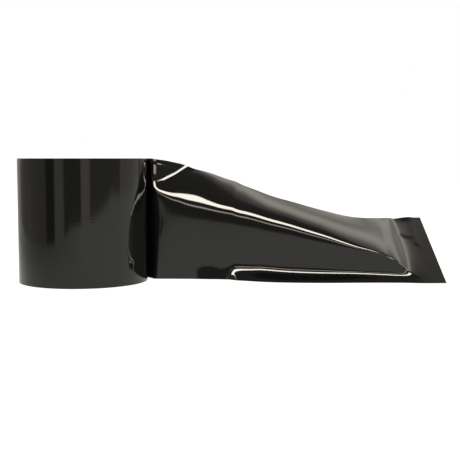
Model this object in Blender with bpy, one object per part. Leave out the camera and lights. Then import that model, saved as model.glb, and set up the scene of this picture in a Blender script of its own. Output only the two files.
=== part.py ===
"""Roll of sign vinyl standing on its end, with a free tail of web led off it.

Metres, +Z up. The roll's axis is vertical and its lower end stands on Z = 0. Seen from above, the web is wound
clockwise with its film outwards. It leaves the roll at the back right, runs straight to an upright corner, and
goes on along +X, standing on its lower edge at first and leaning back more and more towards its cut end.
Everything is drawn about the roll's axis and is then moved so that the origin is under the middle of its box.

A place on the free web is (along, across): along is the distance past the upright corner, negative on the lead
between the roll and the corner, and across is the distance up from the web's lower edge.
"""

from math import atan2, cos, hypot, pi, radians, sin

import bpy
import numpy as np
from mathutils import Vector

# Driving dimensions
WEB_WIDTH = 0.1524
ROLL_RADIUS = 0.080
CORE_BORE_RADIUS = 0.0381
INNER_PLY = 0.0007
CORE_BOARD = 0.0028
OUTER_PLY = 0.0007
FILM = 0.00008
ADHESIVE = 0.00004
LINER = 0.00013
BOND_GAP = 0.00002
SEAT_GAP = 0.00030

# The free web
CORNER = (0.0875, 0.0100)
TAIL_LENGTH = 0.3610
TAB_LENGTH = 0.012
TAKE_OFF_LENGTH = 0.008
JOINT_GAP = 0.0006
CORNER_GAP = 0.0018

# The wound pack, whose few thick turns stand for several hundred thin ones
PACK_TURNS = 3
FILM_SHARE = 0.32
ADHESIVE_SHARE = 0.16
TURN_STEPS = 48
OUTER_STEPS = 72
TAPE_ARC = 4
TAPE_THICKNESS = 0.00012

# Offsets of the layers from the web's middle surface, towards its outer side
WEB = FILM + ADHESIVE + LINER + 2 * BOND_GAP
LAYERS = {
    "liner": (-WEB / 2, -WEB / 2 + LINER),
    "adhesive": (-WEB / 2 + LINER + BOND_GAP, -WEB / 2 + LINER + BOND_GAP + ADHESIVE),
    "film": (WEB / 2 - FILM, WEB / 2),
}

# How the tail stands, each line as (distance past the corner, value)
# Plan of the web at the height of its flat panel, as distance back from the corner
PANEL_BACK = ((0.000, 0.0000), (0.064, -0.0020), (0.122, -0.0090), (0.173, -0.0160), (0.279, -0.0260),
              (0.320, -0.0275), (0.361, -0.0265))
# The ridge between the upright panel and the upper side that leans back
RIDGE_AT = ((-0.006, 0.1215), (0.002, 0.1135), (0.014, 0.1085), (0.022, 0.1058), (0.032, 0.1020), (0.042, 0.0970),
            (0.052, 0.0940), (0.062, 0.0928), (0.072, 0.0925), (0.085, 0.0922), (0.100, 0.0914), (0.119, 0.0908),
            (0.137, 0.0896), (0.156, 0.0868), (0.175, 0.0822), (0.194, 0.0760), (0.213, 0.0688), (0.251, 0.051),
            (0.289, 0.037), (0.307, 0.027), (0.319, 0.018), (0.330, 0.013), (0.361, 0.008))
RIDGE_SOFT = ((-0.006, 0.0014), (0.005, 0.0017), (0.022, 0.0034), (0.042, 0.0038), (0.100, 0.0046),
              (0.137, 0.0042), (0.175, 0.0034), (0.213, 0.0026), (0.251, 0.0014), (0.270, 0.0006),
              (0.289, 0.0004), (0.361, 0.0004))
# The lean of the side above the ridge: just past the ridge, halfway up that side and at the web's upper edge
UPPER_LOW = ((-0.006, 26.0), (0.005, 30.0), (0.022, 31.0), (0.032, 24.0), (0.042, 18.5), (0.052, 17.0),
             (0.062, 19.0), (0.072, 26.0), (0.085, 39.0), (0.100, 50.0), (0.119, 56.0), (0.137, 57.5),
             (0.175, 58.0), (0.213, 60.0), (0.251, 61.0), (0.289, 61.0), (0.307, 58.5), (0.326, 58.5),
             (0.338, 61.0), (0.346, 62.0), (0.348, 62.0), (0.361, 62.0))
UPPER_MIDDLE = ((-0.006, 26.0), (0.005, 30.0), (0.022, 39.0), (0.042, 38.0), (0.055, 39.5), (0.069, 47.0),
                (0.085, 57.0), (0.100, 62.5), (0.119, 67.0), (0.137, 70.0), (0.175, 73.0), (0.213, 74.5),
                (0.251, 74.5), (0.275, 74.0), (0.295, 71.5), (0.315, 67.0), (0.330, 64.0), (0.338, 63.0),
                (0.346, 62.0), (0.348, 62.0), (0.361, 62.0))
UPPER_EDGE = ((-0.006, 26.0), (0.005, 30.0), (0.022, 47.0), (0.042, 65.0), (0.055, 70.0), (0.069, 72.0),
              (0.100, 72.5), (0.119, 75.0), (0.137, 76.0), (0.175, 78.0), (0.213, 83.0), (0.251, 82.0),
              (0.270, 76.0), (0.289, 71.0), (0.310, 68.0), (0.326, 66.0), (0.338, 63.5), (0.346, 62.0),
              (0.348, 62.0), (0.361, 62.0))
# Shallow dents in the web, each as (along, across, rise per length, half length, half width, degrees)
DENTS = ((0.329, 0.103, -0.15, 0.010, 0.0040, -9.0), (0.340, 0.086, -0.80, 0.005, 0.0035, -6.0),
         (0.334, 0.1500, 0.05, 0.010, 0.0070, -11.0), (0.004, 0.147, -0.10, 0.012, 0.0018, 8.0))
# The small upright facet above the ridge, next to the corner
FACET_AT = ((-0.006, 0.122), (0.005, 0.1243), (0.014, 0.1290), (0.022, 0.1343), (0.034, 0.1440), (0.045, 0.1524),
            (0.060, 0.163))
FACET_SOFT = 0.0022
FACET_LEAN = 5.0
# The fold along the foot of the upright panel, and the foot's lean just under it and at its lower edge
FOLD_AT = ((0.041, 0.006), (0.055, 0.0155), (0.070, 0.0170), (0.085, 0.0160), (0.100, 0.0148), (0.119, 0.0155),
           (0.137, 0.0190), (0.175, 0.0197), (0.213, 0.0175), (0.251, 0.0145), (0.289, 0.0120), (0.361, 0.0115))
FOLD_SOFT = ((0.041, 0.0040), (0.080, 0.0032), (0.137, 0.0026), (0.213, 0.0024), (0.251, 0.0018),
             (0.361, 0.0012))
FOOT_TOP = ((0.044, 0.0), (0.056, 5.0), (0.070, 6.0), (0.093, 7.0), (0.096, 9.0), (0.104, 36.0),
            (0.116, 58.0), (0.137, 80.0), (0.165, 95.0), (0.225, 95.0), (0.251, 76.0), (0.289, 60.0),
            (0.346, 62.0), (0.348, 62.0), (0.361, 62.0))
FOOT_EDGE = ((0.044, 0.0), (0.056, 4.0), (0.070, 5.0), (0.093, 7.0), (0.096, 9.0), (0.104, 30.0),
             (0.116, 38.0), (0.137, 44.0), (0.279, 46.0), (0.318, 56.0), (0.346, 62.0), (0.348, 62.0),
             (0.361, 62.0))
# The lean of the panel between the fold and the ridge
PANEL_LEAN = ((0.000, -0.2), (0.150, -0.2), (0.200, 0.3), (0.290, 1.5), (0.312, 5.0), (0.323, 30.0),
              (0.332, 55.0), (0.340, 60.5), (0.346, 62.0), (0.348, 62.0), (0.361, 62.0))
# Where the web starts to lean, on the lead, and where it leans fully
LEAN_FROM = -0.012
LEAN_FULL = -0.004
# Softness of the upright corner, as (across, value)
CORNER_SOFT = ((0.000, 0.0018), (0.050, 0.0040), (0.080, 0.0050), (0.110, 0.0028), (0.121, 0.0016),
               (0.135, 0.0022), (0.1524, 0.0022))
# Direction square to the tail in plan, in degrees left of +Y
SQUARE_TURN = ((0.000, -3.0), (0.150, -7.0), (0.279, -3.0), (0.361, 2.3))

# Mesh of the free web. Stations are distances past the corner, past the take-off end or past the tab line.
STEPS_ACROSS = 14
FINE_STEPS = 611
FOLD_ROW = 3
RIDGE_ROW = 6
FOLD_CLEAR = 1.2
FOLD_MOST = 0.5
PANEL_CLEAR = 3.0
LEAD_STATIONS = (-0.020, -0.012, -0.007, -0.004, -CORNER_GAP)
CORNER_STATIONS = (CORNER_GAP, 0.004, 0.008, 0.013, 0.020, 0.028, 0.038)
MIDDLE_RUN = (0.049, 0.309, 14)
LATE_STATIONS = (0.316, 0.3235, 0.331, 0.340)
TAB_STATIONS = (JOINT_GAP, 0.004, 0.008, TAB_LENGTH)
SHARP_ANGLE = 35.0
OUTER_START = 0.25

COLOURS = {
    "film": ((0.012, 0.012, 0.012), 0.08),
    "liner": ((0.014, 0.014, 0.014), 0.10),
    "adhesive": ((0.35, 0.34, 0.30), 0.45),
    "board": ((0.42, 0.30, 0.19), 0.85),
    "ply": ((0.50, 0.38, 0.25), 0.80),
    "tape": ((0.60, 0.52, 0.34), 0.55),
}


def clear_scene():
    for thing in list(bpy.data.objects):
        bpy.data.objects.remove(thing)


def material(kind):
    """The Principled material of one kind of piece, made once."""
    found = bpy.data.materials.get(kind)
    if found:
        return found
    colour, roughness = COLOURS[kind]
    made = bpy.data.materials.new(kind)
    made.use_nodes = True
    shader = made.node_tree.nodes["Principled BSDF"]
    shader.inputs["Base Color"].default_value = (*colour, 1.0)
    shader.inputs["Roughness"].default_value = roughness
    shader.inputs["Metallic"].default_value = 0.0
    return made


def add_object(name, points, faces, kind, parent=None):
    """One closed piece, its mesh given about its parent's place."""
    at = parent.matrix_world.translation if parent else Vector((0.0, 0.0, 0.0))
    mesh = bpy.data.meshes.new(name)
    mesh.from_pydata([Vector(p) - at for p in points], [], faces)
    mesh.materials.append(material(kind))
    mesh.shade_smooth()
    mesh.set_sharp_from_angle(angle=radians(SHARP_ANGLE))
    piece = bpy.data.objects.new(name, mesh)
    bpy.context.scene.collection.objects.link(piece)
    piece.parent = parent
    return piece


def add_empty(name, place, parent=None):
    """An empty that stands on a moving body's joint."""
    empty = bpy.data.objects.new(name, None)
    bpy.context.scene.collection.objects.link(empty)
    at = parent.matrix_world.translation if parent else Vector((0.0, 0.0, 0.0))
    empty.location = Vector(place) - at
    empty.parent = parent
    bpy.context.view_layer.update()
    return empty


def keyed(keys, where):
    """A smooth curve through keys, read at where and held past its ends."""
    x = np.array([k[0] for k in keys])
    y = np.array([k[1] for k in keys])
    slope = np.gradient(y, x)
    where = np.clip(where, x[0], x[-1])
    i = np.clip(np.searchsorted(x, where) - 1, 0, len(x) - 2)
    step = x[i + 1] - x[i]
    t = (where - x[i]) / step
    rise = t * t * (3 - 2 * t)
    start = t * (1 - t) ** 2 * step
    end = -t * t * (1 - t) * step
    return y[i] + (y[i + 1] - y[i]) * rise + slope[i] * start + slope[i + 1] * end


def above(height, edge, soft):
    """0 well below the edge and 1 well above it."""
    return 0.5 * (1 + np.tanh((height - edge) / (2 * soft)))


def smooth_step(value):
    """0 up to 0 and 1 from 1, with level ends."""
    held = np.clip(value, 0.0, 1.0)
    return held * held * (3 - 2 * held)


def upper_lean(along, across):
    """The lean of the side above the ridge."""
    ridge = keyed(RIDGE_AT, along)
    share = np.clip((across - ridge) / (WEB_WIDTH - ridge), 0.0, 1.0)
    low = keyed(UPPER_LOW, along)
    middle = keyed(UPPER_MIDDLE, along)
    edge = keyed(UPPER_EDGE, along)
    return low + (4 * middle - 3 * low - edge) * share + 2 * (low + edge - 2 * middle) * share**2


def foot_lean(along, across):
    """The lean of the side below the fold."""
    share = np.clip(across / keyed(FOLD_AT, along), 0.0, 1.0)
    edge = keyed(FOOT_EDGE, along)
    return edge + (keyed(FOOT_TOP, along) - edge) * share


def dents(along, across):
    """What the shallow dents add to the lean."""
    total = 0.0
    for at, up, rise, long, wide, degrees in DENTS:
        aside = across - up - rise * (along - at)
        total = total + degrees * np.exp(-(((along - at) / long) ** 2) - (aside / wide) ** 2)
    return total


def lean(along, across):
    """The web's lean from upright, in degrees, positive where its upper side is further back."""
    panel = keyed(PANEL_LEAN, along)
    upper = upper_lean(along, across)
    over_ridge = above(across, keyed(RIDGE_AT, along), keyed(RIDGE_SOFT, along))
    over_facet = above(across, keyed(FACET_AT, along), FACET_SOFT)
    over_fold = above(across, keyed(FOLD_AT, along), keyed(FOLD_SOFT, along))
    foot = np.maximum(foot_lean(along, across) - panel, 0.0)
    leaning = panel + (upper - panel) * over_ridge + foot * (1 - over_fold)
    leaning = leaning + np.minimum(FACET_LEAN - upper, 0.0) * over_facet * over_ridge + dents(along, across)
    return leaning * smooth_step((along - LEAN_FROM) / (LEAN_FULL - LEAN_FROM))


def corner_frame():
    """The place where the web leaves the roll, its direction there, and the lead's length."""
    reach = hypot(*CORNER)
    turn = atan2(CORNER[1], CORNER[0]) + np.arccos(ROLL_RADIUS / reach)
    leaves = np.array([ROLL_RADIUS * cos(turn), ROLL_RADIUS * sin(turn)])
    heading = np.array([sin(turn), -cos(turn)])
    return leaves, heading, (reach**2 - ROLL_RADIUS**2) ** 0.5


def soft_part(distance, soft):
    """max(distance, 0) with its corner rounded."""
    return soft * np.logaddexp(0.0, distance / soft)


def web_points(along, across):
    """Points of the web's middle surface, for arrays of stations along and heights across it."""
    _, heading, _ = corner_frame()
    a = np.asarray(along)[:, None]
    fine = np.linspace(0.0, WEB_WIDTH, FINE_STEPS)
    middle = (fine[1:] + fine[:-1]) / 2
    angle = np.radians(lean(a, middle[None, :]))
    step = fine[1] - fine[0]
    back = np.concatenate([0 * a, np.cumsum(np.sin(angle), axis=1) * step], axis=1)
    high = np.concatenate([0 * a, np.cumsum(np.cos(angle), axis=1) * step], axis=1)
    panel = keyed(FOLD_AT, a) + PANEL_CLEAR * keyed(FOLD_SOFT, a)
    foot = np.radians(lean(a, 0 * a))
    across = np.broadcast_to(across, (len(along), np.shape(across)[-1]))
    points = np.empty((*across.shape, 3))
    for i, station in enumerate(along):
        soft = keyed(CORNER_SOFT, across[i])
        reference = np.interp(panel[i, 0], fine, back[i])
        set_back = np.interp(across[i], fine, back[i]) - reference
        past = soft_part(station, soft)
        before = soft_part(-station, soft)
        turn = np.radians(keyed(SQUARE_TURN, past))
        points[i, :, 0] = CORNER[0] + past - before * heading[0] - np.sin(turn) * set_back
        points[i, :, 1] = CORNER[1] + keyed(PANEL_BACK, past) - before * heading[1] + np.cos(turn) * set_back
        points[i, :, 2] = np.interp(across[i], fine, high[i]) + WEB / 2 * sin(foot[i, 0])
    return points


def surface_normals(points):
    """Unit normals of a grid of points, on the web's outer side."""
    lengthwise = np.gradient(points, axis=0)
    upwards = np.gradient(points, axis=1)
    normals = np.cross(upwards, lengthwise)
    return normals / np.linalg.norm(normals, axis=2, keepdims=True)


def slab(points, normals, near, far):
    """A closed sheet between two offsets from a grid of points, as its points and faces."""
    rows, columns = points.shape[:2]
    corners = np.concatenate([(points + normals * near).reshape(-1, 3), (points + normals * far).reshape(-1, 3)])
    back = rows * columns
    faces = []
    for i in range(rows - 1):
        for j in range(columns - 1):
            a = i * columns + j
            b, c, d = a + columns, a + columns + 1, a + 1
            faces.append((a, b, c))
            faces.append((a, c, d))
            faces.append((back + c, back + b, back + a))
            faces.append((back + d, back + c, back + a))
    rim = [j for j in range(columns)]
    rim += [i * columns + columns - 1 for i in range(1, rows)]
    rim += [(rows - 1) * columns + j for j in range(columns - 2, -1, -1)]
    rim += [i * columns for i in range(rows - 2, 0, -1)]
    for a, b in zip(rim, rim[1:] + rim[:1]):
        faces.append((a, b, back + b))
        faces.append((a, back + b, back + a))
    return corners, faces


def across_stations(stations):
    """Heights across the web at each station, with one row of points by the fold and one on the ridge."""
    ridge = keyed(RIDGE_AT, stations)
    fold = np.minimum(keyed(FOLD_AT, stations) * FOLD_CLEAR, ridge * FOLD_MOST)
    shares = np.linspace(0.0, 1.0, STEPS_ACROSS)
    stops = (0.0, shares[FOLD_ROW], shares[RIDGE_ROW], 1.0)
    return np.array([np.interp(shares, stops, (0.0, f, r, WEB_WIDTH)) for f, r in zip(fold, ridge)])


def add_web(name, stations, layer, parent):
    """One layer of a stretch of the free web."""
    points = web_points(stations, across_stations(stations))
    near, far = LAYERS[layer]
    corners, faces = slab(points, surface_normals(points), near, far)
    return add_object(name, corners, faces, layer, parent)


def add_band(name, inner, outer, angles, kind):
    """A strip wound about the roll's axis, between two radii given at each angle, as high as the web."""
    points = []
    for near, far, angle in zip(inner, outer, angles):
        for radius, height in ((near, 0.0), (far, 0.0), (far, WEB_WIDTH), (near, WEB_WIDTH)):
            points.append((radius * cos(angle), radius * sin(angle), height))
    faces = []
    last = len(angles) - 1
    for i in range(last):
        for j in range(4):
            a, b = 4 * i + j, 4 * i + (j + 1) % 4
            faces.append((a, a + 4, b + 4, b))
    faces.append((0, 1, 2, 3))
    faces.append((4 * last + 3, 4 * last + 2, 4 * last + 1, 4 * last))
    return add_object(name, points, faces, kind)


def add_tube(name, inner, outer, steps, kind):
    """A plain tube about the roll's axis."""
    points = []
    for i in range(steps):
        angle = 2 * pi * i / steps
        for radius, height in ((inner, 0.0), (outer, 0.0), (outer, WEB_WIDTH), (inner, WEB_WIDTH)):
            points.append((radius * cos(angle), radius * sin(angle), height))
    faces = []
    for i in range(steps):
        for j in range(4):
            a, b = 4 * i + j, 4 * i + (j + 1) % 4
            c, d = 4 * ((i + 1) % steps) + (j + 1) % 4, 4 * ((i + 1) % steps) + j
            faces.append((a, d, c, b))
    return add_object(name, points, faces, kind)


def make_core():
    """The three plies of the paperboard core. Returns the core's outer radius."""
    board = CORE_BORE_RADIUS + INNER_PLY + BOND_GAP
    outer = board + CORE_BOARD + BOND_GAP
    add_tube("core_inner_ply", CORE_BORE_RADIUS, board - BOND_GAP, TURN_STEPS, "ply")
    add_tube("core_board", board, outer - BOND_GAP, TURN_STEPS, "board")
    add_tube("core_outer_ply", outer, outer + OUTER_PLY, TURN_STEPS, "ply")
    return outer + OUTER_PLY


def make_starter_tape(core):
    """The strip of tape that holds the web's inner end to the core."""
    angles = [2 * pi * i / TURN_STEPS for i in range(TAPE_ARC + 1)]
    inner = core + (SEAT_GAP - TAPE_THICKNESS) / 2
    add_band("starter_tape", [inner] * len(angles), [inner + TAPE_THICKNESS] * len(angles), angles, "tape")


def make_pack(inner, outer):
    """The wound turns under the last one, as one spiral for each layer, trimmed round on both sides."""
    pitch = (outer - inner) / PACK_TURNS
    shares = (("liner", 0.0, 1 - FILM_SHARE - ADHESIVE_SHARE),
              ("adhesive", 1 - FILM_SHARE - ADHESIVE_SHARE, 1 - FILM_SHARE),
              ("film", 1 - FILM_SHARE, 1.0))
    for layer, low, high in shares:
        angles, near, far = [], [], []
        for i in range(-TURN_STEPS, (PACK_TURNS + 1) * TURN_STEPS):
            base = inner + pitch * i / TURN_STEPS
            below = max(base + low * pitch + BOND_GAP, inner)
            over = min(base + high * pitch - BOND_GAP, outer)
            if over - below > SEAT_GAP:
                angles.append(-2 * pi * i / TURN_STEPS)
                near.append(below)
                far.append(over)
        add_band("wound_" + layer, near[::-1], far[::-1], angles[::-1], layer)


def make_outer_turn():
    """The last full turn, open where the web leaves it."""
    leaves, _, _ = corner_frame()
    start = atan2(leaves[1], leaves[0])
    angles = [start + 2 * pi * (i + OUTER_START) / OUTER_STEPS for i in range(OUTER_STEPS)]
    for layer, (near, far) in LAYERS.items():
        inner = ROLL_RADIUS - WEB - SEAT_GAP + WEB / 2 + near
        outer = ROLL_RADIUS - WEB - SEAT_GAP + WEB / 2 + far
        add_band("outer_turn_" + layer, [inner] * len(angles), [outer] * len(angles), angles, layer)


def make_free_web():
    """The take-off, lead, tail and peel tab, each on an empty that stands on its joint."""
    leaves, _, lead = corner_frame()
    tab_line = TAIL_LENGTH - TAB_LENGTH
    hinge = web_points(np.array([tab_line]), np.array([0.0, WEB_WIDTH]))[0]
    corner = web_points(np.array([0.0]), np.array([WEB_WIDTH / 2]))[0, 0]
    unwind = add_empty("web_unwind_axis", (0.0, 0.0, 0.0))
    payout = add_empty("web_payout_axis", (leaves[0], leaves[1], 0.0), unwind)
    swing = add_empty("tail_swing_axis", (corner[0], corner[1], 0.0), payout)
    peel = add_empty("liner_peel_axis", tuple(hinge[0]), swing)
    take_off = np.array([-lead + JOINT_GAP, -lead + TAKE_OFF_LENGTH])
    lead_run = np.array([-lead + TAKE_OFF_LENGTH + JOINT_GAP, *LEAD_STATIONS])
    run = np.concatenate([CORNER_STATIONS, np.linspace(*MIDDLE_RUN), LATE_STATIONS, [tab_line]])
    end = tab_line + np.array(TAB_STATIONS)
    for layer in LAYERS:
        add_web("take_off_" + layer, take_off, layer, unwind)
        add_web("lead_" + layer, lead_run, layer, payout)
        tail = run if layer == "liner" else np.concatenate([run, end])
        add_web("tail_" + layer, tail, layer, swing)
    add_web("liner_peel_tab", end, "liner", peel)
    return hinge, corner


def centre_on_box():
    """Moves everything so that the origin is under the middle of the whole box. Returns the shift."""
    bpy.context.view_layer.update()
    corners = []
    for piece in bpy.data.objects:
        if piece.type == "MESH":
            corners += [piece.matrix_world @ v.co for v in piece.data.vertices]
    low = [min(c[k] for c in corners) for k in range(3)]
    high = [max(c[k] for c in corners) for k in range(3)]
    shift = Vector((-(low[0] + high[0]) / 2, -(low[1] + high[1]) / 2, -low[2]))
    for piece in bpy.data.objects:
        if piece.parent is None:
            piece.location += shift
    return shift


def main():
    clear_scene()
    core = make_core()
    make_starter_tape(core)
    make_pack(core + SEAT_GAP, ROLL_RADIUS - 2 * WEB - SEAT_GAP)
    make_outer_turn()
    hinge, corner = make_free_web()
    shift = centre_on_box()
    _, heading, lead = corner_frame()
    print("roll axis", [round(x, 5) for x in shift])
    print("corner axis", [round(corner[k] + shift[k], 5) for k in range(2)])
    print("lead heading", heading, "lead", lead)
    print("peel axis from", hinge[0] + np.array(shift), "towards", hinge[1] - hinge[0])


main()
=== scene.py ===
"""Looks of the roll of sign vinyl: the wound roll, its core, the free web led off it, and a white stage.

Metres, +Z up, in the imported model's frame. The web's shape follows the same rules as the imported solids, on a
much finer grid. A place on the free web is (along, across). Along is the distance past the upright corner,
negative on the lead between the roll and the corner. Across is the distance up from the web's lower edge.
"""

from math import atan2, cos, hypot, pi, radians, sin

import bpy
import numpy as np
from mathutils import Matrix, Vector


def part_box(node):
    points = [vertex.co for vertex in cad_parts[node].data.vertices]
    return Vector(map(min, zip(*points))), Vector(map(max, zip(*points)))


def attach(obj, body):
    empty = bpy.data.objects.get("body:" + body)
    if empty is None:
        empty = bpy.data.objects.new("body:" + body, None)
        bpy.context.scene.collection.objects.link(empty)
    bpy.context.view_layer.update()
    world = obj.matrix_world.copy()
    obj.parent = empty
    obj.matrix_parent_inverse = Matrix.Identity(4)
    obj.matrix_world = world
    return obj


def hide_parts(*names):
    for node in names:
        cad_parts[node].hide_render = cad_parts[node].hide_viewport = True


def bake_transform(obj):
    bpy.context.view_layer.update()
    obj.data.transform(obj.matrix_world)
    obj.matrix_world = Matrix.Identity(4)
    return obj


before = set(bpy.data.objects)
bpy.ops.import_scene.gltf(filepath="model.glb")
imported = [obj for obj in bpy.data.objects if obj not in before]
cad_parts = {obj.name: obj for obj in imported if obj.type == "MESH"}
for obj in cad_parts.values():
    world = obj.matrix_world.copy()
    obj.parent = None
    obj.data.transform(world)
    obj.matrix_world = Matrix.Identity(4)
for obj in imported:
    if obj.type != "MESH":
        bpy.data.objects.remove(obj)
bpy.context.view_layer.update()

# From the frame
CORE_LOW, CORE_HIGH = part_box("core_board")
AXIS = ((CORE_LOW[0] + CORE_HIGH[0]) / 2, (CORE_LOW[1] + CORE_HIGH[1]) / 2)
WEB_WIDTH = CORE_HIGH[2] - CORE_LOW[2]
CORE_PLY = 0.0007
BORE_RADIUS = (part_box("core_inner_ply")[1][0] - AXIS[0]) - CORE_PLY
CORE_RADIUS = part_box("core_outer_ply")[1][0] - AXIS[0]

# The roll and its web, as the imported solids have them
CORE_BOARD = 0.0028
ROLL_RADIUS = 0.0800
FILM = 0.00008
ADHESIVE = 0.00004
LINER = 0.00013
BOND_GAP = 0.00002
SEAT_GAP = 0.00030
WEB = FILM + ADHESIVE + LINER + 2 * BOND_GAP
CORNER = (0.0875, 0.0100)
TAIL_LENGTH = 0.3610
TAB_LENGTH = 0.012
TAB_GAP = 0.00028
LEAD_GAP = 0.0003

# How the tail stands, each line as (distance past the corner, value)
PANEL_BACK = ((0.000, 0.0000), (0.064, -0.0020), (0.122, -0.0090), (0.173, -0.0160), (0.279, -0.0260),
              (0.320, -0.0275), (0.361, -0.0265))
# The ridge between the upright panel and the upper side that leans back
RIDGE_AT = ((-0.006, 0.1215), (0.002, 0.1135), (0.014, 0.1085), (0.022, 0.1058), (0.032, 0.1020),
            (0.042, 0.0970), (0.052, 0.0940), (0.062, 0.0928), (0.072, 0.0925), (0.085, 0.0922),
            (0.100, 0.0914), (0.119, 0.0908), (0.137, 0.0896), (0.156, 0.0868), (0.175, 0.0822),
            (0.194, 0.0760), (0.213, 0.0688), (0.251, 0.051), (0.289, 0.037), (0.307, 0.027),
            (0.319, 0.018), (0.330, 0.013), (0.361, 0.008))
RIDGE_SOFT = ((-0.006, 0.0014), (0.005, 0.0017), (0.022, 0.0034), (0.042, 0.0038), (0.100, 0.0046),
              (0.137, 0.0042), (0.175, 0.0034), (0.213, 0.0026), (0.251, 0.0014), (0.270, 0.0006),
              (0.289, 0.0004), (0.361, 0.0004))
# The lean of the side above the ridge: just past the ridge, halfway up that side and at the web's upper edge
UPPER_LOW = ((-0.006, 26.0), (0.005, 30.0), (0.022, 31.0), (0.032, 24.0), (0.042, 18.5), (0.052, 17.0),
             (0.062, 19.0), (0.072, 26.0), (0.085, 39.0), (0.100, 50.0), (0.119, 56.0), (0.137, 57.5),
             (0.175, 58.0), (0.213, 60.0), (0.251, 61.0), (0.289, 61.0), (0.307, 58.5), (0.326, 58.5),
             (0.338, 61.0), (0.346, 62.0), (0.348, 62.0), (0.361, 62.0))
UPPER_MIDDLE = ((-0.006, 26.0), (0.005, 30.0), (0.022, 39.0), (0.042, 38.0), (0.055, 39.5), (0.069, 47.0),
                (0.085, 57.0), (0.100, 62.5), (0.119, 67.0), (0.137, 70.0), (0.175, 73.0), (0.213, 74.5),
                (0.251, 74.5), (0.275, 74.0), (0.295, 71.5), (0.315, 67.0), (0.330, 64.0), (0.338, 63.0),
                (0.346, 62.0), (0.348, 62.0), (0.361, 62.0))
UPPER_EDGE = ((-0.006, 26.0), (0.005, 30.0), (0.022, 47.0), (0.042, 65.0), (0.055, 70.0), (0.069, 72.0),
              (0.100, 72.5), (0.119, 75.0), (0.137, 76.0), (0.175, 78.0), (0.213, 83.0), (0.251, 82.0),
              (0.270, 76.0), (0.289, 71.0), (0.310, 68.0), (0.326, 66.0), (0.338, 63.5), (0.346, 62.0),
              (0.348, 62.0), (0.361, 62.0))
# Shallow dents in the web, each as (along, across, rise per length, half length, half width, degrees)
DENTS = ((0.329, 0.103, -0.15, 0.010, 0.0040, -9.0), (0.340, 0.086, -0.80, 0.005, 0.0035, -6.0),
         (0.334, 0.1500, 0.05, 0.010, 0.0070, -11.0), (0.004, 0.147, -0.10, 0.012, 0.0018, 8.0))
# The small upright facet above the ridge, next to the corner
FACET_AT = ((-0.006, 0.122), (0.005, 0.1243), (0.014, 0.1290), (0.022, 0.1343), (0.034, 0.1440),
            (0.045, 0.1524), (0.060, 0.163))
FACET_SOFT = 0.0022
FACET_LEAN = 5.0
# The fold along the foot of the upright panel, and the foot's lean just under it and at its lower edge
FOLD_AT = ((0.041, 0.006), (0.055, 0.0155), (0.070, 0.0170), (0.085, 0.0160), (0.100, 0.0148),
           (0.119, 0.0155), (0.137, 0.0190), (0.175, 0.0197), (0.213, 0.0175), (0.251, 0.0145),
           (0.289, 0.0120), (0.361, 0.0115))
FOLD_SOFT = ((0.041, 0.0040), (0.080, 0.0032), (0.137, 0.0026), (0.213, 0.0024), (0.251, 0.0018),
             (0.361, 0.0012))
FOOT_TOP = ((0.044, 0.0), (0.056, 5.0), (0.070, 6.0), (0.093, 7.0), (0.096, 9.0), (0.104, 36.0),
            (0.116, 58.0), (0.137, 80.0), (0.165, 95.0), (0.225, 95.0), (0.251, 76.0), (0.289, 60.0),
            (0.346, 62.0), (0.348, 62.0), (0.361, 62.0))
FOOT_EDGE = ((0.044, 0.0), (0.056, 4.0), (0.070, 5.0), (0.093, 7.0), (0.096, 9.0), (0.104, 30.0),
             (0.116, 38.0), (0.137, 44.0), (0.279, 46.0), (0.318, 56.0), (0.346, 62.0), (0.348, 62.0),
             (0.361, 62.0))
# The lean of the panel between the fold and the ridge
PANEL_LEAN = ((0.000, -0.2), (0.150, -0.2), (0.200, 0.3), (0.290, 1.5), (0.312, 5.0), (0.323, 30.0),
              (0.332, 55.0), (0.340, 60.5), (0.346, 62.0), (0.348, 62.0), (0.361, 62.0))
# Where the web starts to lean, on the lead, and where it leans fully
LEAN_FROM = -0.012
LEAN_FULL = -0.004
# Softness of the upright corner, as (across, value)
CORNER_SOFT = ((0.000, 0.0018), (0.050, 0.0040), (0.080, 0.0050), (0.110, 0.0028), (0.121, 0.0016),
               (0.135, 0.0022), (0.1524, 0.0022))
# Direction square to the tail in plan, in degrees left of +Y
SQUARE_TURN = ((0.000, -3.0), (0.150, -7.0), (0.279, -3.0), (0.361, 2.3))

# Grid of the free web. Rows run along it: their stops as shares of the rows, a little above the fold and on
# both sides of the ridge. Stations are distances past the corner.
FINE_STEPS = 1201
ROWS = 150
ROW_STOPS = (0.0, 0.20, 0.38, 0.62, 1.0)
FOLD_CLEAR = 1.2
FOLD_MOST = 0.5
RIDGE_ROOM = 0.012
RIDGE_SHARE = 0.6
PANEL_CLEAR = 3
TAIL_FROM = -0.012
NEAR_UNTIL = 0.036
NEAR_STEP = 0.0007
FAR_STEP = 0.0012
FAR_COUNT = 260
LEAD_COUNT = 20
TAB_COUNT = 24
TAB_ROOM = 0.0005
BEND_FROM = -0.011
BEND_TO = 0.014

# Grid of the roll
RING_STEPS = 160
CORE_EDGE = 0.0002
WOUND_TURNS = 90
TURN_DIP = 0.00009
TURN_DIP_LEAST = 0.00002
TURN_SEED = 7
TURN_SHIFT = 11
OUTER_COUNT = 400
OUTER_ROWS = 130
OUTER_OPEN = 0.004
# Ripples in the outer turn, each as (angle, height, half width, half height, waves), and their depth
RIPPLES = ((-1.32, 0.076, 0.20, 0.016, 1500.0), (-1.05, 0.094, 0.06, 0.008, 1900.0),
           (-0.72, 0.088, 0.06, 0.006, 2100.0))
RIPPLE_DEPTH = 0.000008

# The camera, from the roll's axis, at eye level with the roll's upper end
CAMERA_PLACE = (0.1836, -1.1116, 0.1524)
CAMERA_DOWN = 4.6
CAMERA_LENS = 69.65
SENSOR_WIDTH = 36.0


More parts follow.
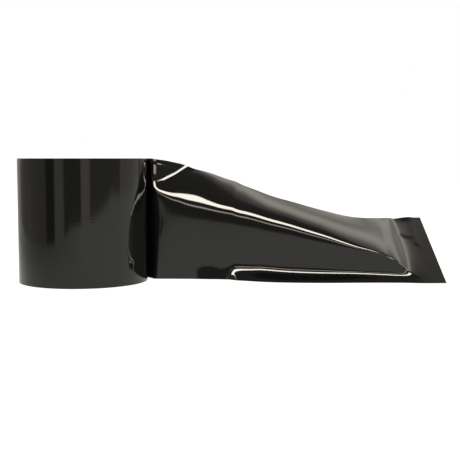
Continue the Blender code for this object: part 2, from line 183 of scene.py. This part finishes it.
def keyed(keys, where):
    """A smooth curve through keys, read at where and held past its ends."""
    x = np.array([k[0] for k in keys])
    y = np.array([k[1] for k in keys])
    slope = np.gradient(y, x)
    where = np.clip(where, x[0], x[-1])
    i = np.clip(np.searchsorted(x, where) - 1, 0, len(x) - 2)
    step = x[i + 1] - x[i]
    t = (where - x[i]) / step
    rise = t * t * (3 - 2 * t)
    start = t * (1 - t) ** 2 * step
    end = -t * t * (1 - t) * step
    return y[i] + (y[i + 1] - y[i]) * rise + slope[i] * start + slope[i + 1] * end


def above(height, edge, soft):
    """0 well below the edge and 1 well above it."""
    return 0.5 * (1 + np.tanh((height - edge) / (2 * soft)))


def smooth_step(value):
    """0 up to 0 and 1 from 1, with level ends."""
    held = np.clip(value, 0.0, 1.0)
    return held * held * (3 - 2 * held)


def upper_lean(along, across):
    """The lean of the side above the ridge."""
    ridge = keyed(RIDGE_AT, along)
    share = np.clip((across - ridge) / (WEB_WIDTH - ridge), 0.0, 1.0)
    low = keyed(UPPER_LOW, along)
    middle = keyed(UPPER_MIDDLE, along)
    edge = keyed(UPPER_EDGE, along)
    return low + (4 * middle - 3 * low - edge) * share + 2 * (low + edge - 2 * middle) * share**2


def foot_lean(along, across):
    """The lean of the side below the fold."""
    share = np.clip(across / keyed(FOLD_AT, along), 0.0, 1.0)
    edge = keyed(FOOT_EDGE, along)
    return edge + (keyed(FOOT_TOP, along) - edge) * share


def dents(along, across):
    """What the shallow dents add to the lean."""
    total = 0.0
    for at, up, rise, long, wide, degrees in DENTS:
        aside = across - up - rise * (along - at)
        total = total + degrees * np.exp(-(((along - at) / long) ** 2) - (aside / wide) ** 2)
    return total


def lean(along, across):
    """The web's lean from upright, in degrees, positive where its upper side is further back."""
    panel = keyed(PANEL_LEAN, along)
    upper = upper_lean(along, across)
    over_ridge = above(across, keyed(RIDGE_AT, along), keyed(RIDGE_SOFT, along))
    over_facet = above(across, keyed(FACET_AT, along), FACET_SOFT)
    over_fold = above(across, keyed(FOLD_AT, along), keyed(FOLD_SOFT, along))
    foot = np.maximum(foot_lean(along, across) - panel, 0.0)
    leaning = panel + (upper - panel) * over_ridge + foot * (1 - over_fold)
    leaning = leaning + np.minimum(FACET_LEAN - upper, 0.0) * over_facet * over_ridge + dents(along, across)
    return leaning * smooth_step((along - LEAN_FROM) / (LEAN_FULL - LEAN_FROM))


def corner_frame():
    """The place where the web leaves the roll, its direction there, and the lead's length."""
    reach = hypot(*CORNER)
    turn = atan2(CORNER[1], CORNER[0]) + np.arccos(ROLL_RADIUS / reach)
    leaves = np.array([ROLL_RADIUS * cos(turn), ROLL_RADIUS * sin(turn)])
    heading = np.array([sin(turn), -cos(turn)])
    return leaves, heading, (reach**2 - ROLL_RADIUS**2) ** 0.5


def soft_part(distance, soft):
    """max(distance, 0) with its corner rounded."""
    return soft * np.logaddexp(0.0, distance / soft)


def web_points(along, across):
    """Points of the web's middle surface, for arrays of stations along and heights across it."""
    _, heading, _ = corner_frame()
    a = np.asarray(along)[:, None]
    fine = np.linspace(0.0, WEB_WIDTH, FINE_STEPS)
    middle = (fine[1:] + fine[:-1]) / 2
    angle = np.radians(lean(a, middle[None, :]))
    step = fine[1] - fine[0]
    back = np.concatenate([0 * a, np.cumsum(np.sin(angle), axis=1) * step], axis=1)
    high = np.concatenate([0 * a, np.cumsum(np.cos(angle), axis=1) * step], axis=1)
    panel = keyed(FOLD_AT, a) + PANEL_CLEAR * keyed(FOLD_SOFT, a)
    foot = np.radians(lean(a, 0 * a))
    across = np.broadcast_to(across, (len(along), np.shape(across)[-1]))
    points = np.empty((*across.shape, 3))
    for i, station in enumerate(along):
        soft = keyed(CORNER_SOFT, across[i])
        reference = np.interp(panel[i, 0], fine, back[i])
        set_back = np.interp(across[i], fine, back[i]) - reference
        past = soft_part(station, soft)
        before = soft_part(-station, soft)
        turn = np.radians(keyed(SQUARE_TURN, past))
        points[i, :, 0] = AXIS[0] + CORNER[0] + past - before * heading[0] - np.sin(turn) * set_back
        points[i, :, 1] = (AXIS[1] + CORNER[1] + keyed(PANEL_BACK, past) - before * heading[1]
                           + np.cos(turn) * set_back)
        points[i, :, 2] = np.interp(across[i], fine, high[i]) + WEB / 2 * sin(foot[i, 0])
    return points


def across_stations(stations):
    """Heights across the web at each station, closer together round the ridge and the fold."""
    ridge = keyed(RIDGE_AT, stations)
    fold = np.minimum(keyed(FOLD_AT, stations) * FOLD_CLEAR, ridge * FOLD_MOST)
    shares = np.linspace(0.0, 1.0, ROWS)
    rows = []
    for f, r in zip(fold, ridge):
        near = min(RIDGE_ROOM, (r - f) * RIDGE_SHARE)
        rows.append(np.interp(shares, ROW_STOPS, (0.0, f, r - near, r + near, WEB_WIDTH)))
    return np.array(rows)


def surface_normals(points):
    """Unit normals of a grid of points, on the web's outer side."""
    normals = np.cross(np.gradient(points, axis=1), np.gradient(points, axis=0))
    return normals / np.linalg.norm(normals, axis=2, keepdims=True)


def mesh_object(name, points, faces, materials, slots=None, sharp=40):
    """One piece from its points and faces."""
    mesh = bpy.data.meshes.new(name)
    mesh.from_pydata(points, [], faces)
    for material in materials:
        mesh.materials.append(material)
    if slots is not None:
        mesh.polygons.foreach_set("material_index", slots)
    mesh.shade_smooth()
    mesh.set_sharp_from_angle(angle=radians(sharp))
    piece = bpy.data.objects.new(name, mesh)
    bpy.context.scene.collection.objects.link(piece)
    return piece


def slab(name, points, near, far, near_material, far_material):
    """A closed sheet between two offsets from a grid of points.

    Its near side and its rim take the first material.
    """
    rows, columns = points.shape[:2]
    normals = surface_normals(points)
    both = np.stack([points + normals * near, points + normals * far]).reshape(-1, 3)
    index = np.arange(rows * columns).reshape(rows, columns)
    a, b = index[:-1, :-1].ravel(), index[1:, :-1].ravel()
    c, d = index[1:, 1:].ravel(), index[:-1, 1:].ravel()
    back = rows * columns
    front_side = np.stack([a, b, c, d], axis=1)
    back_side = np.stack([d, c, b, a], axis=1) + back
    rim = np.concatenate([index[0, :-1], index[:-1, -1], index[-1, :0:-1], index[:0:-1, 0]])
    after = np.roll(rim, -1)
    edge = np.stack([rim, after, after + back, rim + back], axis=1)
    faces = np.concatenate([front_side, edge, back_side])
    slots = np.zeros(len(faces), dtype=np.int32)
    slots[len(front_side) + len(edge):] = 1
    return mesh_object(name, both.tolist(), faces.tolist(), [near_material, far_material], slots)


# ---------------------------------------------------------------- materials

IOR = 1.44


def new_material(name, colour, roughness):
    """A plain material of one colour, with its node tree and its shader."""
    material = bpy.data.materials.new(name)
    material.use_nodes = True
    shader = material.node_tree.nodes["Principled BSDF"]
    shader.inputs["Base Color"].default_value = (*colour, 1.0)
    shader.inputs["Roughness"].default_value = roughness
    shader.inputs["IOR"].default_value = IOR
    return material, material.node_tree, shader


def add_node(tree, kind, **values):
    """A node with its inputs set by name and its settings by attribute."""
    node = tree.nodes.new(kind)
    for key, value in values.items():
        if hasattr(node, key):
            setattr(node, key, value)
        else:
            node.inputs[key.replace("_", " ")].default_value = value
    return node


def ranged(tree, source, low, high):
    """A value from 0 to 1 spread from low to high."""
    node = tree.nodes.new("ShaderNodeMapRange")
    node.inputs["To Min"].default_value = low
    node.inputs["To Max"].default_value = high
    tree.links.new(source, node.inputs["Value"])
    return node.outputs["Result"]


def gloss_film(name, colour, smooth, rough, waviness):
    """Calendered plastic film: a near-mirror skin with faint orange peel, and a few dull smears."""
    material, tree, shader = new_material(name, colour, smooth)
    place = tree.nodes.new("ShaderNodeTexCoord").outputs["Object"]
    smear = add_node(tree, "ShaderNodeTexNoise", Scale=14.0, Detail=5.0, Roughness=0.65)
    tree.links.new(place, smear.inputs["Vector"])
    tree.links.new(ranged(tree, smear.outputs["Fac"], smooth, rough), shader.inputs["Roughness"])
    peel = add_node(tree, "ShaderNodeTexNoise", Scale=260.0, Detail=2.0)
    tree.links.new(place, peel.inputs["Vector"])
    bump = add_node(tree, "ShaderNodeBump", Strength=waviness, Distance=0.0001)
    tree.links.new(peel.outputs["Fac"], bump.inputs["Height"])
    tree.links.new(bump.outputs["Normal"], shader.inputs["Normal"])
    return material


def adhesive_material():
    """Dark pressure-sensitive adhesive with a fine uneven coat."""
    material, tree, shader = new_material("adhesive_coat", (0.030, 0.030, 0.029), 0.35)
    place = tree.nodes.new("ShaderNodeTexCoord").outputs["Object"]
    flow = add_node(tree, "ShaderNodeTexNoise", Scale=900.0, Detail=3.0)
    tree.links.new(place, flow.inputs["Vector"])
    bump = add_node(tree, "ShaderNodeBump", Strength=0.4, Distance=0.00005)
    tree.links.new(flow.outputs["Fac"], bump.inputs["Height"])
    tree.links.new(bump.outputs["Normal"], shader.inputs["Normal"])
    tree.links.new(ranged(tree, flow.outputs["Fac"], 0.25, 0.45), shader.inputs["Roughness"])
    return material


def paper_material(name, dark, light, roughness):
    """Raw paper or board: long flat fibres, in two tones."""
    material, tree, shader = new_material(name, dark, roughness)
    shader.inputs["Specular IOR Level"].default_value = 0.2
    place = tree.nodes.new("ShaderNodeTexCoord").outputs["Object"]
    stretch = add_node(tree, "ShaderNodeMapping", Scale=(1.0, 1.0, 3.0))
    tree.links.new(place, stretch.inputs["Vector"])
    fibre = add_node(tree, "ShaderNodeTexNoise", Scale=420.0, Detail=6.0, Roughness=0.7)
    tree.links.new(stretch.outputs["Vector"], fibre.inputs["Vector"])
    tone = tree.nodes.new("ShaderNodeValToRGB")
    tone.color_ramp.elements[0].position = 0.35
    tone.color_ramp.elements[0].color = (*dark, 1.0)
    tone.color_ramp.elements[1].position = 0.65
    tone.color_ramp.elements[1].color = (*light, 1.0)
    tree.links.new(fibre.outputs["Fac"], tone.inputs["Fac"])
    tree.links.new(tone.outputs["Color"], shader.inputs["Base Color"])
    bump = add_node(tree, "ShaderNodeBump", Strength=0.5, Distance=0.0002)
    tree.links.new(fibre.outputs["Fac"], bump.inputs["Height"])
    tree.links.new(bump.outputs["Normal"], shader.inputs["Normal"])
    return material


def wound_edge_material():
    """The cut edges of several hundred turns: fine dark and less dark rings, a little uneven."""
    material, tree, shader = new_material("wound_edge", (0.012, 0.012, 0.012), 0.5)
    place = tree.nodes.new("ShaderNodeTexCoord").outputs["Object"]
    centred = add_node(tree, "ShaderNodeVectorMath", operation="SUBTRACT")
    centred.inputs[1].default_value = (AXIS[0], AXIS[1], 0.0)
    tree.links.new(place, centred.inputs[0])
    flat = add_node(tree, "ShaderNodeVectorMath", operation="MULTIPLY")
    flat.inputs[1].default_value = (1.0, 1.0, 0.0)
    tree.links.new(centred.outputs["Vector"], flat.inputs[0])
    radius = add_node(tree, "ShaderNodeVectorMath", operation="LENGTH")
    tree.links.new(flat.outputs["Vector"], radius.inputs[0])
    turns = add_node(tree, "ShaderNodeTexNoise", noise_dimensions="1D", Scale=2400.0, Detail=3.0,
                     Roughness=0.8)
    tree.links.new(radius.outputs["Value"], turns.inputs["W"])
    tone = tree.nodes.new("ShaderNodeValToRGB")
    tone.color_ramp.elements[0].position = 0.35
    tone.color_ramp.elements[0].color = (0.004, 0.004, 0.004, 1.0)
    tone.color_ramp.elements[1].position = 0.75
    tone.color_ramp.elements[1].color = (0.040, 0.040, 0.039, 1.0)
    tree.links.new(turns.outputs["Fac"], tone.inputs["Fac"])
    tree.links.new(tone.outputs["Color"], shader.inputs["Base Color"])
    tree.links.new(ranged(tree, turns.outputs["Fac"], 0.35, 0.6), shader.inputs["Roughness"])
    bump = add_node(tree, "ShaderNodeBump", Strength=0.6, Distance=0.0001)
    tree.links.new(turns.outputs["Fac"], bump.inputs["Height"])
    tree.links.new(bump.outputs["Normal"], shader.inputs["Normal"])
    return material


FILM_FACE = gloss_film("film_face", (0.0045, 0.0045, 0.0045), 0.05, 0.10, 0.05)
LINER_FACE = gloss_film("liner_face", (0.0045, 0.0045, 0.0045), 0.04, 0.09, 0.04)
ADHESIVE_FACE = adhesive_material()
WOUND_EDGE = wound_edge_material()
PLY = paper_material("kraft_ply", (0.34, 0.23, 0.13), (0.50, 0.37, 0.23), 0.85)
BOARD = paper_material("grey_board", (0.28, 0.21, 0.14), (0.44, 0.35, 0.25), 0.95)
TAPE = paper_material("crepe_tape", (0.52, 0.43, 0.24), (0.66, 0.57, 0.36), 0.7)


# ---------------------------------------------------------------- the roll


def turned(name, profile, material):
    """A ring turned about the roll's axis from a closed profile of (radius, height), run anticlockwise."""
    count = len(profile)
    points = []
    for i in range(RING_STEPS):
        angle = 2 * pi * i / RING_STEPS
        for radius, height in profile:
            points.append((AXIS[0] + radius * cos(angle), AXIS[1] + radius * sin(angle), height))
    faces = []
    for i in range(RING_STEPS):
        for j in range(count):
            a, b = count * i + j, count * i + (j + 1) % count
            c, d = count * ((i + 1) % RING_STEPS) + (j + 1) % count, count * ((i + 1) % RING_STEPS) + j
            faces.append((a, d, c, b))
    return mesh_object(name, points, faces, [material], sharp=30)


def soft_edged(inner, outer, low, high, edge):
    """A ring's rectangular profile with its four corners taken off."""
    return [(inner + edge, low), (outer - edge, low), (outer, low + edge), (outer, high - edge),
            (outer - edge, high), (inner + edge, high), (inner, high - edge), (inner, low + edge)]


def make_core():
    """The three plies of the paperboard core."""
    board = BORE_RADIUS + CORE_PLY + BOND_GAP
    outer = board + CORE_BOARD + BOND_GAP
    rings = (("inner_ply", BORE_RADIUS, board - BOND_GAP, PLY, "core_inner_ply", "ply"),
             ("board_tube", board, outer - BOND_GAP, BOARD, "core_board", "board"),
             ("outer_ply", outer, outer + CORE_PLY, PLY, "core_outer_ply", "ply"))
    for name, near, far, material, node, slot in rings:
        edge = min(CORE_EDGE, (far - near) / 4)
        piece = turned(name, soft_edged(near, far, 0.0, WEB_WIDTH, edge), material)
        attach(piece, "roll")
        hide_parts(node)


def make_wound_web():
    """The wound turns: fine steps at both ends where single turns stand a little proud."""
    inner = CORE_RADIUS + SEAT_GAP
    outer = ROLL_RADIUS - 2 * WEB - SEAT_GAP
    seeded = np.random.default_rng(TURN_SEED)
    radii = np.linspace(inner, outer, WOUND_TURNS)
    dip = np.abs(seeded.normal(0.0, TURN_DIP, WOUND_TURNS)) + TURN_DIP_LEAST
    low = list(zip(radii, dip))
    high = [(r, WEB_WIDTH - d) for r, d in zip(radii, np.roll(dip, TURN_SHIFT))]
    piece = turned("wound_turns", low + high[::-1], WOUND_EDGE)
    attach(piece, "roll")
    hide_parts("wound_liner", "wound_adhesive", "wound_film")


def roll_waves(angle, height):
    """How far the outer turn stands off a true cylinder, in metres."""
    slow = 0.00006 * np.sin(3 * angle + 0.7) + 0.00003 * np.sin(7 * angle + 14 * height + 2.0)
    faint = 0.000006 * np.sin(23 * angle + 31 * height) + 0.000005 * np.sin(41 * angle - 22 * height + 1.0)
    ripple = np.zeros_like(angle + height)
    for at, up, wide, tall, often in RIPPLES:
        near = np.exp(-(((angle - at) / wide) ** 2) - ((height - up) / tall) ** 2)
        ripple = ripple + RIPPLE_DEPTH * near * np.sin(often * (height - up) + 9 * (angle - at))
    return slow + faint + ripple


def make_outer_turn():
    """The last turn: film outside, liner inside, open where the web leaves it."""
    leaves, _, _ = corner_frame()
    start = atan2(leaves[1], leaves[0])
    angles = start + np.linspace(OUTER_OPEN, 2 * pi - OUTER_OPEN, OUTER_COUNT)
    heights = np.linspace(0.0, WEB_WIDTH, OUTER_ROWS)
    angle, height = np.meshgrid(angles, heights, indexing="ij")
    around = np.where(angle > pi, angle - 2 * pi, angle)
    radius = ROLL_RADIUS - WEB / 2 - SEAT_GAP + roll_waves(around, height)
    points = np.stack([AXIS[0] + radius * np.cos(angle), AXIS[1] + radius * np.sin(angle), height], axis=2)
    piece = slab("outer_turn", points[::-1], -WEB / 2, WEB / 2, LINER_FACE, FILM_FACE)
    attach(piece, "roll")
    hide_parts("outer_turn_liner", "outer_turn_adhesive", "outer_turn_film")
    return piece


# ---------------------------------------------------------------- the free web


def make_film(name, points):
    """The film with its adhesive, of one stretch of the free web."""
    inside = WEB / 2 - FILM - BOND_GAP - ADHESIVE
    film = slab(name, points, inside, WEB / 2, ADHESIVE_FACE, FILM_FACE)
    return film


def make_liner(name, points):
    """The liner of one stretch of the free web."""
    liner = slab(name, points, -WEB / 2, -WEB / 2 + LINER, LINER_FACE, LINER_FACE)
    return liner


def make_lead():
    """The straight stretch between the roll and the corner."""
    _, _, lead = corner_frame()
    stations = np.linspace(-lead + LEAD_GAP, TAIL_FROM, LEAD_COUNT)
    points = web_points(stations, across_stations(stations))
    film = make_film("lead_web_film", points)
    liner = make_liner("lead_web_liner", points)
    for piece, nodes in ((film, ("take_off_film", "take_off_adhesive", "lead_film", "lead_adhesive")),
                         (liner, ("take_off_liner", "lead_liner"))):
        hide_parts(*nodes)
        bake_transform(piece)


def make_tail():
    """The corner, the standing and leaning tail, and the liner's peel tab."""
    near = np.arange(TAIL_FROM, NEAR_UNTIL, NEAR_STEP)
    far = np.linspace(near[-1] + FAR_STEP, TAIL_LENGTH, FAR_COUNT)
    stations = np.concatenate([near, far])
    tab_line = TAIL_LENGTH - TAB_LENGTH
    film = make_film("tail_web_film", web_points(stations, across_stations(stations)))
    liner_stations = np.concatenate([stations[stations < tab_line - TAB_ROOM], [tab_line]])
    liner = make_liner("tail_web_liner", web_points(liner_stations, across_stations(liner_stations)))
    start, end = web_points(np.array([BEND_FROM, BEND_TO]), np.array([0.0, 0.01]))[:, 0]
    length = TAIL_LENGTH - TAIL_FROM
    for piece, nodes, long in ((film, ("tail_film", "tail_adhesive"), length),
                               (liner, ("tail_liner",), length - TAB_LENGTH)):
        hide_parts(*nodes)
        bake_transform(piece)
    tab_stations = np.linspace(tab_line + TAB_GAP, TAIL_LENGTH, TAB_COUNT)
    tab = make_liner("liner_tab", web_points(tab_stations, across_stations(tab_stations)))
    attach(tab, "liner_end")
    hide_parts("liner_peel_tab")


def finish_starter_tape():
    """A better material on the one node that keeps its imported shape."""
    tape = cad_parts["starter_tape"]
    tape.material_slots[0].link = "OBJECT"
    tape.material_slots[0].material = TAPE


# ---------------------------------------------------------------- stage, light and camera

# Outlines of the two tables from the roll's axis, and how far each lies under the roll
WHITE_TABLE = ((-3.0, -1.0), (4.0, -1.0), (4.0, 4.0), (-3.0, 4.0))
WHITE_DEPTH = 0.0004
MIRRORED_TABLE = ((-0.17, -1.06), (2.6, -1.50), (4.0, 4.0), (-3.0, 4.0), (-1.7, 2.3), (-0.62, -0.07))
MIRRORED_DEPTH = 0.0008
# The mirrored table's light rises from left to right: (from the roll's axis, strength)
MIRRORED_LEFT = (-0.45, 0.50)
MIRRORED_RIGHT = (0.10, 1.05)
MIRRORED_COLOUR = (1.0, 0.985, 0.92)
WHITE = (1.0, 1.0, 1.0)
ROOM_COLOUR = (1.0, 0.945, 0.83)
WARM_COLOUR = (1.0, 0.84, 0.76)
# Studio lights as seen from the object: (low, high, edge, left, right, side edge, strength, warm). The first
# three are degrees up from the front horizon, over the top to the back, and the next three are degrees right
# of the front.
PANELS = (
    (27.0, 45.0, 3.0, -62.0, 19.0, 8.0, 30.0, False),
    (34.0, 76.0, 4.0, -76.0, -44.0, 4.0, 30.0, False),
    (27.0, 45.0, 3.0, 34.0, 80.0, 6.0, 30.0, False),
    (8.0, 12.0, 2.0, -16.0, 26.0, 6.0, 8.0, True),
    (117.0, 190.0, 24.0, -60.0, 60.0, 30.0, 0.46, False),
    (132.0, 146.0, 12.0, -60.0, 60.0, 30.0, 1.0, False),
)
# Upright bars of the room round the table: (left, right, strength), in degrees right of the front, and the
# softness of their edges
BARS = ((-180, -130, 0.50), (-130, -104, 0.28), (-104, -58, 0.36), (-58, -41, 0.05), (-41, -24, 0.75),
        (-24, 6, 0.17), (6, 21, 1.0), (21, 78, 0.30), (78, 124, 0.8), (124, 180, 0.3))
BAR_SOFT = 4.0
ROOM_TOP = 16.0
ROOM_TOP_SOFT = 8.0
DARK = 0.20


def stage_plane(name, outline, height):
    """A flat staged sheet."""
    mesh = bpy.data.meshes.new(name)
    corners = [(AXIS[0] + x, AXIS[1] + y, height) for x, y in outline]
    mesh.from_pydata(corners, [], [tuple(range(len(outline)))])
    plane = bpy.data.objects.new(name, mesh)
    bpy.context.scene.collection.objects.link(plane)
    return plane


def glowing(name, colour, diffuse, strength):
    """A matt material that also gives light of its own."""
    material, tree, shader = new_material(name, (diffuse, diffuse, diffuse), 0.9)
    shader.inputs["Specular IOR Level"].default_value = 0.0
    shader.inputs["Emission Color"].default_value = (*colour, 1.0)
    shader.inputs["Emission Strength"].default_value = strength
    return material, tree, shader


def make_table():
    """A white table, and just under it the less evenly lit top that the gloss mirrors.

    The mirrored top's front and left edges end the light that the roll's lower half mirrors."""
    white = stage_plane("white_table", WHITE_TABLE, -WHITE_DEPTH)
    white.visible_glossy = False
    white.data.materials.append(glowing("white_table", WHITE, 0.25, 0.93)[0])
    top = stage_plane("mirrored_table", MIRRORED_TABLE, -MIRRORED_DEPTH)
    top.visible_camera = False
    top.visible_diffuse = False
    material, tree, shader = glowing("mirrored_table", MIRRORED_COLOUR, 0.0, 1.0)
    place = tree.nodes.new("ShaderNodeTexCoord").outputs["Object"]
    split = tree.nodes.new("ShaderNodeSeparateXYZ")
    tree.links.new(place, split.inputs["Vector"])
    fall = tree.nodes.new("ShaderNodeMapRange")
    fall.inputs["From Min"].default_value = AXIS[0] + MIRRORED_LEFT[0]
    fall.inputs["From Max"].default_value = AXIS[0] + MIRRORED_RIGHT[0]
    fall.inputs["To Min"].default_value = MIRRORED_LEFT[1]
    fall.inputs["To Max"].default_value = MIRRORED_RIGHT[1]
    tree.links.new(split.outputs["X"], fall.inputs["Value"])
    tree.links.new(fall.outputs["Result"], shader.inputs["Emission Strength"])
    top.data.materials.append(material)


def world_value(tree, operation, first, second=None):
    """One Math node in the world's tree, from sockets or plain numbers."""
    node = add_node(tree, "ShaderNodeMath", operation=operation)
    for socket, value in zip(node.inputs, (first, second)):
        if value is None:
            continue
        if isinstance(value, (int, float)):
            socket.default_value = value
        else:
            tree.links.new(value, socket)
    return node.outputs[0]


def window(tree, value, low, high, soft):
    """1 where value is between low and high, falling to 0 over soft on both sides."""
    rising = add_node(tree, "ShaderNodeMapRange", interpolation_type="SMOOTHSTEP")
    rising.inputs["From Min"].default_value = low - soft / 2
    rising.inputs["From Max"].default_value = low + soft / 2
    falling = add_node(tree, "ShaderNodeMapRange", interpolation_type="SMOOTHSTEP")
    falling.inputs["From Min"].default_value = high - soft / 2
    falling.inputs["From Max"].default_value = high + soft / 2
    falling.inputs["To Min"].default_value = 1.0
    falling.inputs["To Max"].default_value = 0.0
    tree.links.new(value, rising.inputs["Value"])
    tree.links.new(value, falling.inputs["Value"])
    return world_value(tree, "MULTIPLY", rising.outputs["Result"], falling.outputs["Result"])


def sum_of(tree, parts):
    """The sum of any number of sockets."""
    total = parts[0]
    for part in parts[1:]:
        total = world_value(tree, "ADD", total, part)
    return total


def lit(tree, strength, colour):
    """A background of one colour."""
    background = tree.nodes.new("ShaderNodeBackground")
    background.inputs["Color"].default_value = (*colour, 1.0)
    if isinstance(strength, (int, float)):
        background.inputs["Strength"].default_value = strength
    else:
        tree.links.new(strength, background.inputs["Strength"])
    return background.outputs[0]


def mixed(tree, share, first, second):
    """The first shader where share is 0, and the second where it is 1."""
    node = tree.nodes.new("ShaderNodeMixShader")
    tree.links.new(share, node.inputs["Fac"])
    tree.links.new(first, node.inputs[1])
    tree.links.new(second, node.inputs[2])
    return node.outputs[0]


def make_world():
    """A dark room with upright lighter bars, soft boxes above the camera and a broad dim panel overhead.

    The camera itself sees plain white round the table."""
    world = bpy.data.worlds.new("studio")
    bpy.context.scene.world = world
    world.use_nodes = True
    tree = world.node_tree
    tree.nodes.clear()
    ray = tree.nodes.new("ShaderNodeTexCoord").outputs["Generated"]
    split = tree.nodes.new("ShaderNodeSeparateXYZ")
    tree.links.new(ray, split.inputs["Vector"])
    x, y, z = split.outputs
    front = world_value(tree, "MULTIPLY", y, -1.0)
    to_degrees = 180.0 / pi
    tilt = world_value(tree, "MULTIPLY", world_value(tree, "ARCTAN2", z, front), to_degrees)
    level = world_value(tree, "MULTIPLY", world_value(tree, "ARCSINE", z), to_degrees)
    side = world_value(tree, "MULTIPLY", world_value(tree, "ARCSINE", x), to_degrees)
    around = world_value(tree, "MULTIPLY", world_value(tree, "ARCTAN2", x, front), to_degrees)
    white_parts, warm_parts = [], []
    for low, high, edge, left, right, side_edge, strength, warm in PANELS:
        part = world_value(tree, "MULTIPLY", window(tree, tilt, low, high, edge),
                           window(tree, side, left, right, side_edge))
        part = world_value(tree, "MULTIPLY", part, strength)
        (warm_parts if warm else white_parts).append(part)
    bars = [world_value(tree, "MULTIPLY", window(tree, around, left, right, BAR_SOFT), strength - DARK)
            for left, right, strength in BARS]
    low_room = window(tree, level, -90.0, ROOM_TOP, ROOM_TOP_SOFT)
    room = world_value(tree, "MULTIPLY", sum_of(tree, bars), low_room)
    total = world_value(tree, "ADD", sum_of(tree, [*white_parts, room]), DARK)
    mirrored = tree.nodes.new("ShaderNodeAddShader")
    tree.links.new(lit(tree, total, ROOM_COLOUR), mirrored.inputs[0])
    tree.links.new(lit(tree, sum_of(tree, warm_parts), WARM_COLOUR), mirrored.inputs[1])
    path = tree.nodes.new("ShaderNodeLightPath")
    seen = mixed(tree, path.outputs["Is Glossy Ray"], lit(tree, 1.0, WHITE), mirrored.outputs[0])
    seen = mixed(tree, path.outputs["Is Camera Ray"], seen, lit(tree, 1.0, WHITE))
    out = tree.nodes.new("ShaderNodeOutputWorld")
    tree.links.new(seen, out.inputs["Surface"])


def make_camera():
    """The camera, level across and pitched down a little."""
    camera = bpy.data.cameras.new("camera")
    camera.lens = CAMERA_LENS
    camera.sensor_width = SENSOR_WIDTH
    camera.clip_start = 0.01
    camera.clip_end = 50.0
    eye = bpy.data.objects.new("camera", camera)
    eye.location = (AXIS[0] + CAMERA_PLACE[0], AXIS[1] + CAMERA_PLACE[1], CAMERA_PLACE[2])
    eye.rotation_euler = (radians(90.0 - CAMERA_DOWN), 0.0, 0.0)
    bpy.context.scene.collection.objects.link(eye)
    bpy.context.scene.camera = eye


bpy.context.scene.view_settings.view_transform = "Standard"
make_camera()
make_table()
make_world()
make_core()
make_wound_web()
outer_turn = make_outer_turn()
make_lead()
make_tail()
finish_starter_tape()
